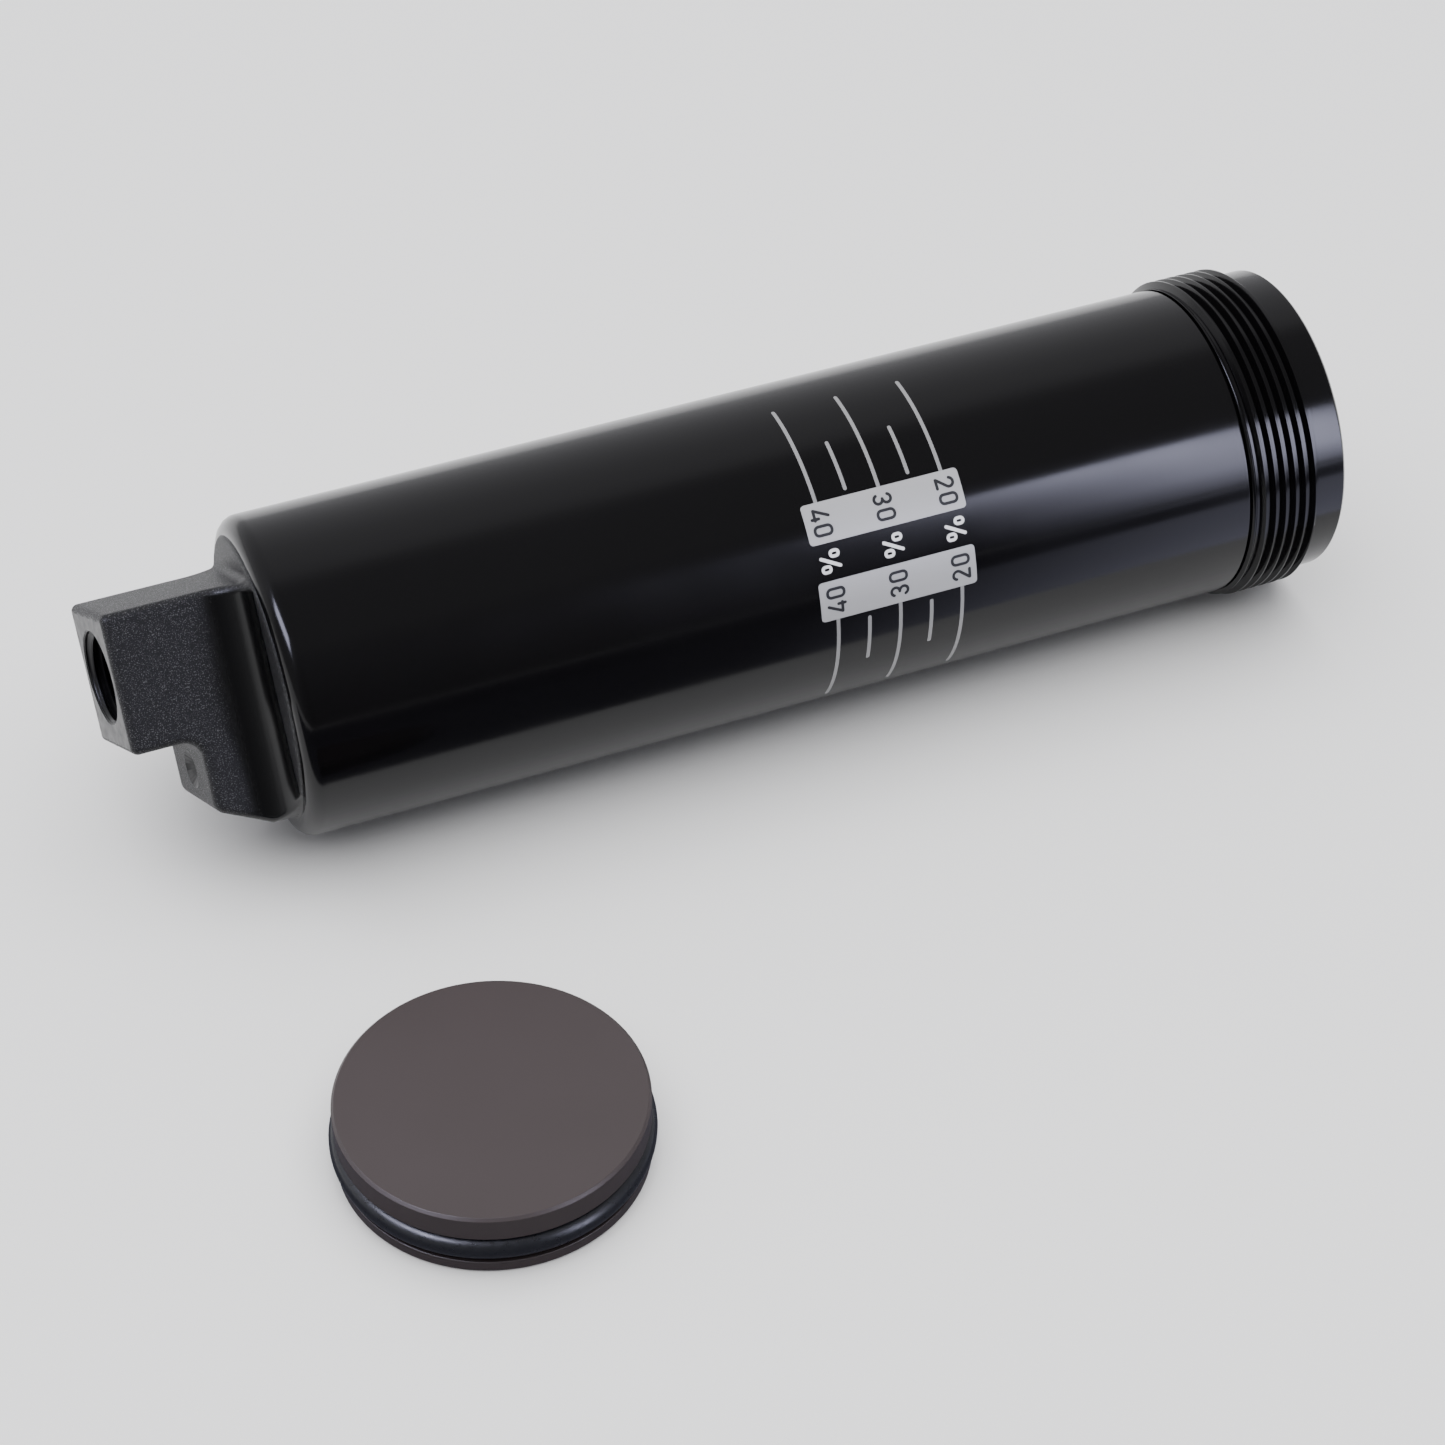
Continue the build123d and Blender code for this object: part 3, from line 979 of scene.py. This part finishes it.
def on_lug_face(face, height):
    """The place of a hole's middle on a leaning face, which lies this far from the shoulder."""
    middle = ((SHOULDER_X - face) * MM, 0, height * MM)
    return upright_to_row @ Matrix.Translation(middle) @ lean_over


port_place = on_lug_face(LUG_LENGTH, PORT_HEIGHT)
dimple_place = on_lug_face(STEP_LENGTH, DIMPLE_HEIGHT)


def cut(piece, cutter):
    """Cuts a cutter's shape out of a piece, for good."""
    modifier = piece.modifiers.new("cut", "BOOLEAN")
    modifier.operation = "DIFFERENCE"
    modifier.solver = "EXACT"
    modifier.object = cutter
    evaluated = piece.evaluated_get(bpy.context.evaluated_depsgraph_get())
    mesh = bpy.data.meshes.new_from_object(evaluated)
    piece.modifiers.clear()
    piece.data = mesh
    mesh.name = piece.name


def make_cutter(name, outline, place):
    cutter = spun(name, outline, CUTTER_SEGMENTS)
    cutter.data.transform(place)
    return cutter


port_cutter = make_cutter("port_cutter", [
    (CUTTER_START, 0),
    (CUTTER_START, PORT_MOUTH_RADIUS - CUTTER_START),
    (0, PORT_MOUTH_RADIUS),
    (PORT_MOUTH_RADIUS - PORT_HOLE_RADIUS, PORT_HOLE_RADIUS),
    (PORT_DEPTH, PORT_HOLE_RADIUS),
    (PORT_DEPTH + PORT_HOLE_RADIUS - PASSAGE_RADIUS, PASSAGE_RADIUS),
    (PASSAGE_LENGTH, PASSAGE_RADIUS),
    (PASSAGE_LENGTH, 0),
], port_place)
dimple_cutter = make_cutter("dimple_cutter", [
    (CUTTER_START, 0),
    (CUTTER_START, DIMPLE_RADIUS),
    (0, DIMPLE_RADIUS),
    (DIMPLE_DEPTH, 0),
], dimple_place)

lug_mesh = bpy.data.meshes.new("forged_lug")
row_points = np.stack([SHOULDER_X - lug_points[:, 0], lug_points[:, 1], lug_points[:, 2]], axis=1) * MM
lug_mesh.from_pydata(row_points.tolist(), [], lug_faces.tolist())
lug_mesh.transform(upright_to_row)
lug = finished("forged_lug", lug_mesh)
cut(lug, port_cutter)
cut(lug, dimple_cutter)
cut(tube, port_cutter)
for cutter in (port_cutter, dimple_cutter):
    bpy.data.objects.remove(cutter)
print("lug", len(lug.data.polygons), "faces after cutting")

# %% [markdown]
# The faces that a tool has cut get the machined finish: the flat round the port, the walls of the holes
# and the drilled spot. They are found by where they are, in the port's and the spot's own coordinates.

# %% Dress the lug
ON_FACE = 0.02


def cut_faces(piece):
    """Whether each face of the lug is on the port's flat or on a drilled wall."""
    from_port = port_place.inverted()
    from_dimple = dimple_place.inverted()
    flags = []
    for face in piece.data.polygons:
        in_port = from_port @ face.center / MM
        in_dimple = from_dimple @ face.center / MM
        on_flat = abs(in_port.x) < ON_FACE
        in_hole = in_port.yz.length < PORT_MOUTH_RADIUS and in_port.x < PASSAGE_LENGTH
        in_spot = in_dimple.yz.length < DIMPLE_RADIUS and in_dimple.x > ON_FACE
        flags.append(on_flat or in_hole or in_spot)
    return flags


paint(lug, forged_black, machined_black)
lug_cut_faces = cut_faces(lug)
lug.data.polygons.foreach_set("material_index", [int(flag) for flag in lug_cut_faces])
lug.data.shade_smooth()
lug.data.set_sharp_from_angle(angle=SHARP_ANGLE)

PORT_THREAD_PITCH = 1.0
PORT_THREAD_LENGTH = 8.0
PORT_THREAD_START = PORT_MOUTH_RADIUS - PORT_HOLE_RADIUS
PORT_THREAD_LEAD = 0.8
PORT_THREAD_SUNK = 0.05
port_thread = grow_thread(
    "port_thread", port_place @ Matrix.Translation((PORT_THREAD_START * MM, 0, 0)), PORT_THREAD_PITCH,
    PORT_THREAD_LENGTH, root=PORT_MAJOR_RADIUS, crest=PORT_MINOR_RADIUS,
    core=PORT_HOLE_RADIUS + PORT_THREAD_SUNK, lead=PORT_THREAD_LEAD, material=machined_black,
)
print(sum(lug_cut_faces), "machined faces on the lug")

# %% [markdown]
# ## Pistons and O-rings
#
# Each floating piston is one turned disc: a flat face towards the oil, a groove for the O-ring, and a
# hollow on the gas side to save weight. Its edges are broken by small chamfers. The O-ring in the bore
# is squeezed by the wall, so its section is a little lower and wider than that of the free one.

# %% Turn the pistons and mould the seals
PISTON_RADIUS = 15.87
PISTON_THICKNESS = 7.8
PISTON_EDGE = 0.3
GROOVE_START = 2.9
GROOVE_END = 6.3
GROOVE_RADIUS = 13.75
DISH_RADIUS = 11.0
DISH_DEPTH = 2.6
DISH_FLOOR_X = PISTON_THICKNESS - DISH_DEPTH
EDGE_CORNER = 0.1
GROOVE_CORNER = 0.2
DISH_CORNER = 0.6
PISTON_GUARD = 0.03
SEAL_INNER_RADIUS = 13.77
SEAL_CENTRE_X = (GROOVE_START + GROOVE_END) / 2
SEAL_POINTS = 48
floating_low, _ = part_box("floating_piston")
spare_low, spare_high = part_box("spare_piston")
spare_middle = (spare_low + spare_high) / 2
in_bore = Matrix.Translation((floating_low.x, 0, 0))
beside_tube = Matrix.Translation((spare_middle.x, spare_middle.y, spare_high.z))
beside_tube = beside_tube @ Matrix.Rotation(math.radians(90), 4, "Y")


def make_piston(name, place):
    piston = spun(name, rounded([
        (0, 0, 0),
        (0, PISTON_RADIUS - PISTON_EDGE, EDGE_CORNER),
        (PISTON_EDGE, PISTON_RADIUS, EDGE_CORNER),
        (GROOVE_START, PISTON_RADIUS, EDGE_CORNER),
        (GROOVE_START, GROOVE_RADIUS, GROOVE_CORNER),
        (GROOVE_END, GROOVE_RADIUS, GROOVE_CORNER),
        (GROOVE_END, PISTON_RADIUS, EDGE_CORNER),
        (PISTON_THICKNESS - PISTON_EDGE, PISTON_RADIUS, EDGE_CORNER),
        (PISTON_THICKNESS, PISTON_RADIUS - PISTON_EDGE, EDGE_CORNER),
        (PISTON_THICKNESS, DISH_RADIUS, GROOVE_CORNER),
        (DISH_FLOOR_X, DISH_RADIUS - PISTON_EDGE, DISH_CORNER),
        (DISH_FLOOR_X, 0, 0),
    ], guard=PISTON_GUARD))
    piston.data.transform(place)
    paint(piston, piston_grey)
    return piston


def make_seal(name, place, width, height):
    """An O-ring with an oval section of this width along the piston's axis and this height."""
    outline = []
    for i in range(SEAL_POINTS):
        angle = math.tau * i / SEAL_POINTS
        x = SEAL_CENTRE_X + width / 2 * math.cos(angle)
        r = SEAL_INNER_RADIUS + height / 2 * (1 + math.sin(angle))
        outline.append(Vector((x, r)))
    seal = spun(name, outline, closed=True)
    seal.data.transform(place)
    paint(seal, seal_rubber)
    return seal


def seal_size(node, along, across):
    """Width along the piston's axis, and height of the section, from a CAD node's box."""
    low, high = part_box(node)
    width = (high - low)[along] / MM
    outer_radius = (high - low)[across] / MM / 2
    return width, outer_radius - SEAL_INNER_RADIUS


floating_piston = make_piston("floating_piston_turned", in_bore)
spare_piston = make_piston("spare_piston_turned", beside_tube)
floating_seal = make_seal("floating_seal", in_bore, *seal_size("floating_piston_o_ring", 0, 1))
spare_seal = make_seal("spare_seal", beside_tube, *seal_size("spare_piston_o_ring", 2, 1))
print("piston", len(spare_piston.data.polygons), "faces, seal", len(spare_seal.data.polygons), "faces")

# %% [markdown]
# ## The printed scale
#
# The scale is for reading how far the damper has sunk under load. Silver boxes carry the numbers twice,
# once for each way of holding the tube, with a percent sign between them and long lines that run on
# round the tube, and short lines halfway. It is drawn flat first, in millimetres along the tube and
# round it, and then wrapped. The numbers are strokes of one width with round ends, as on a stencil.
# Nothing here is a font, so the figures are built from straight runs and arcs.

# %% Helpers for drawing and wrapping
CAP_STEPS = 8
INK_THICKNESS = 0.03
LAYER_STEP = 0.0005


def arc(centre, radius, start, end, steps=14):
    """Points on an arc, from a start angle to an end angle in degrees."""
    points = []
    for i in range(steps + 1):
        angle = math.radians(start + (end - start) * i / steps)
        points.append((centre[0] + radius * math.cos(angle), centre[1] + radius * math.sin(angle)))
    return points


def run(start, end, steps=8):
    """Points on a straight run."""
    shares = [i / steps for i in range(steps + 1)]
    return [(start[0] + (end[0] - start[0]) * s, start[1] + (end[1] - start[1]) * s) for s in shares]


def ribbon(points, width, closed=False):
    """A flat stroke along the points: its vertices, and its faces as lists of their numbers."""
    path = [Vector(p) for p in points]
    count = len(path)
    left, right = [], []
    for i, here in enumerate(path):
        before = path[i - 1] if i or closed else here
        after = path[(i + 1) % count] if i + 1 < count or closed else here
        along = (after - before).normalized()
        across = Vector((-along.y, along.x)) * (width / 2)
        left.append(here + across)
        right.append(here - across)
    vertices = left + right
    last = count if closed else count - 1
    faces = []
    for i in range(last):
        j = (i + 1) % count
        faces.append([count + i, count + j, j, i])
    round_ends = [] if closed else [
        (path[0], left[0], 0, count),
        (path[-1], right[-1], 2 * count - 1, count - 1),
    ]
    for middle, edge, first, second in round_ends:
        cap = [first]
        for k in range(1, CAP_STEPS):
            turned = Matrix.Rotation(math.pi * k / CAP_STEPS, 2) @ (edge - middle)
            cap.append(len(vertices))
            vertices.append(middle + turned)
        faces.append(cap + [second])
    return [tuple(v) for v in vertices], faces


def plate(x_low, x_high, arc_low, arc_high, corner, steps=6, rows=10):
    """A flat box with rounded corners: its vertices, and its faces as lists of their numbers."""
    bend = [i / steps * math.pi / 2 for i in range(steps + 1)]
    inset = [(corner * (1 - math.cos(a)), corner * (1 - math.sin(a))) for a in bend]
    levels = [(arc_low + up, inward) for up, inward in inset]
    straight = arc_high - arc_low - 2 * corner
    levels += [(arc_low + corner + straight * i / rows, 0) for i in range(1, rows)]
    levels += [(arc_high - up, inward) for up, inward in reversed(inset)]
    vertices = [(x_low + inward, level) for level, inward in levels]
    vertices += [(x_high - inward, level) for level, inward in levels]
    count = len(levels)
    faces = [[i, count + i, count + i + 1, i + 1] for i in range(count - 1)]
    return vertices, faces


def wrapped(name, flats, lift, material):
    """Wraps flat shapes round the tube as thin closed plates; each next shape sits a hair higher."""
    vertices, faces = [], []
    for layer, (points, corners) in enumerate(flats):
        radius = TUBE_RADIUS + lift + LAYER_STEP * layer
        start = len(vertices)
        for x, along_arc in points:
            angle = along_arc / TUBE_RADIUS
            vertices.append((x * MM, -radius * MM * math.cos(angle), radius * MM * math.sin(angle)))
        faces += [[start + c for c in face] for face in corners]
    mesh = bpy.data.meshes.new(name)
    mesh.from_pydata(vertices, [], faces)
    shape = bmesh.new()
    shape.from_mesh(mesh)
    raised = bmesh.ops.extrude_face_region(shape, geom=shape.faces[:])
    for vertex in [v for v in raised["geom"] if isinstance(v, bmesh.types.BMVert)]:
        outward = Vector((0, vertex.co.y, vertex.co.z)).normalized()
        vertex.co -= outward * INK_THICKNESS * MM
    shape.to_mesh(mesh)
    shape.free()
    piece = finished(name, mesh)
    paint(piece, material)
    return piece


# %% [markdown]
# The figures are drawn about their own middle, 2.3 mm tall. The upper set reads downwards, so its tops
# point to the mouth, and the lower set reads upwards, so its tops point to the lug.

# %% Figures
STROKE = 0.34
HALF_TALL = 0.96
HALF_WIDE = 0.49
FIGURE_GAP = 1.72


def stadium(centre, half_wide, half_tall, radius):
    """A closed loop of points with four rounded corners."""
    x, y = centre
    in_x, in_y = half_wide - radius, half_tall - radius
    points = []
    for quarter, (side, up) in enumerate(((1, 1), (-1, 1), (-1, -1), (1, -1))):
        start = 90 * quarter
        points += arc((x + side * in_x, y + up * in_y), radius, start, start + 90, 6)
    return points


figures = {
    "0": [(stadium((0, 0), HALF_WIDE, HALF_TALL, 0.44), True)],
    "2": [
        (arc((0, 0.47), HALF_WIDE, 165, -32) + run((0.36, 0.14), (-0.47, -0.9)), False),
        (run((-0.48, -HALF_TALL), (HALF_WIDE, -HALF_TALL)), False),
    ],
    "3": [
        (arc((0.01, 0.49), 0.47, 158, -55) + [(0.1, 0.0)], False),
        (arc((0.01, -0.49), 0.47, -158, 55) + [(0.1, 0.0)], False),
        (run((0.14, 0), (-0.02, 0)), False),
    ],
    "4": [
        (run((0.23, HALF_TALL), (-0.54, -0.6)), False),
        (run((-0.54, -0.62), (0.55, -0.62)), False),
        (run((0.4, -HALF_TALL), (0.4, -0.18)), False),
    ],
}
percent_rings = [stadium((-0.84, 0.57), 0.31, 0.45, 0.29), stadium((0.76, -0.57), 0.31, 0.45, 0.29)]
percent_slash = run((-0.5, -1.02), (0.6, 1.02), 12)


def placed(points, x, along_arc, tops_to_mouth):
    """Moves a figure's points to a place on the scale, and turns them to read down or up."""
    if tops_to_mouth:
        return [(x + v, along_arc - u) for u, v in points]
    return [(x - v, along_arc + u) for u, v in points]


print("figures", sorted(figures))

# %% Print the scale
SCALE_MIDDLE = 31.85
PERCENT_STEP = 7.32
BOX_LOW_X, BOX_HIGH_X = -63.96, -45.66
UPPER_BOX = (11.91, 16.38)
LOWER_BOX = (3.21, 7.79)
BOX_CORNER = 0.45
LINE_WIDTH = 0.42
LINE_OVERLAP = 0.5
SLASH_WIDTH = STROKE + 0.04
LINE_END_UP, LINE_END_DOWN = 94.1, -33.5
TICK_UP, TICK_DOWN = (55.4, 73.8), (-11.2, 7.7)
FIRST_MARK_X = -47.45
mark_x = {
    "20": FIRST_MARK_X,
    "30": FIRST_MARK_X - PERCENT_STEP,
    "40": FIRST_MARK_X - 2 * PERCENT_STEP,
}
tick_x = [x - PERCENT_STEP / 2 for x in (mark_x["20"], mark_x["30"])]
upper_middle = sum(UPPER_BOX) / 2
lower_middle = sum(LOWER_BOX) / 2
percent_arc = math.radians(SCALE_MIDDLE) * TUBE_RADIUS


def round_tube(x, start_degrees, end_degrees):
    """A line round the tube at one place along it."""
    start, end = (math.radians(d) * TUBE_RADIUS for d in (start_degrees, end_degrees))
    return ribbon(run((x, start), (x, end), 28), LINE_WIDTH)


lines = []
below_boxes = math.degrees(LOWER_BOX[0] / TUBE_RADIUS) + LINE_OVERLAP
above_boxes = math.degrees(UPPER_BOX[1] / TUBE_RADIUS) - LINE_OVERLAP
for x in mark_x.values():
    lines.append(round_tube(x, LINE_END_DOWN, below_boxes))
    lines.append(round_tube(x, above_boxes, LINE_END_UP))
for x in tick_x:
    lines.append(round_tube(x, *TICK_DOWN))
    lines.append(round_tube(x, *TICK_UP))
numbers, percents = [], []
for text, x in mark_x.items():
    for middle, tops_to_mouth, reading in ((upper_middle, True, -1), (lower_middle, False, 1)):
        for place, letter in zip((-0.5, 0.5), text):
            along_arc = middle + reading * place * FIGURE_GAP
            for points, closed in figures[letter]:
                where = placed(points, x, along_arc, tops_to_mouth)
                numbers.append(ribbon(where, STROKE, closed))
    for ring in percent_rings:
        percents.append(ribbon(placed(ring, x, percent_arc, True), STROKE, closed=True))
    percents.append(ribbon(placed(percent_slash, x, percent_arc, True), SLASH_WIDTH))
boxes = [plate(BOX_LOW_X, BOX_HIGH_X, *span, BOX_CORNER) for span in (UPPER_BOX, LOWER_BOX)]

scale_lines = wrapped("scale_lines", lines, lift=0.010, material=grey_ink)
scale_boxes = wrapped("scale_boxes", boxes, lift=0.016, material=silver_ink)
scale_numbers = wrapped("scale_numbers", numbers, lift=0.022, material=black_ink)
scale_percents = wrapped("scale_percents", percents, lift=0.012, material=white_ink)
print(len(lines), "lines,", len(numbers), "number strokes,", len(percents), "percent strokes")

# %% [markdown]
# ## Put the pieces on the frame
#
# Everything that is part of the reservoir's one solid body rides on it and stands for its CAD node. The
# two pistons and their O-rings ride on their own bodies, so they slide with the joints.

# %% Ride and replace
reservoir_pieces = {
    tube: "black_hard_anodised",
    outside_thread: "black_hard_anodised",
    lug: "black_hard_anodised",
    port_thread: "black_hard_anodised",
    scale_lines: "scale_ink",
    scale_boxes: "scale_ink",
    scale_numbers: "scale_ink",
    scale_percents: "scale_ink",
}
for piece, slot in reservoir_pieces.items():
    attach(piece, "reservoir")
    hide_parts("reservoir_body")
moving_pieces = [
    (floating_piston, "floating_piston", "floating_piston", "grey_hard_anodised"),
    (floating_seal, "floating_piston", "floating_piston_o_ring", "seal_rubber"),
    (spare_piston, "spare_piston", "spare_piston", "grey_hard_anodised"),
    (spare_seal, "spare_piston", "spare_piston_o_ring", "seal_rubber"),
]
for piece, body, node, slot in moving_pieces:
    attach(piece, body)
    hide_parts(node)
print("pieces on the frame:", len(reservoir_pieces) + len(moving_pieces))
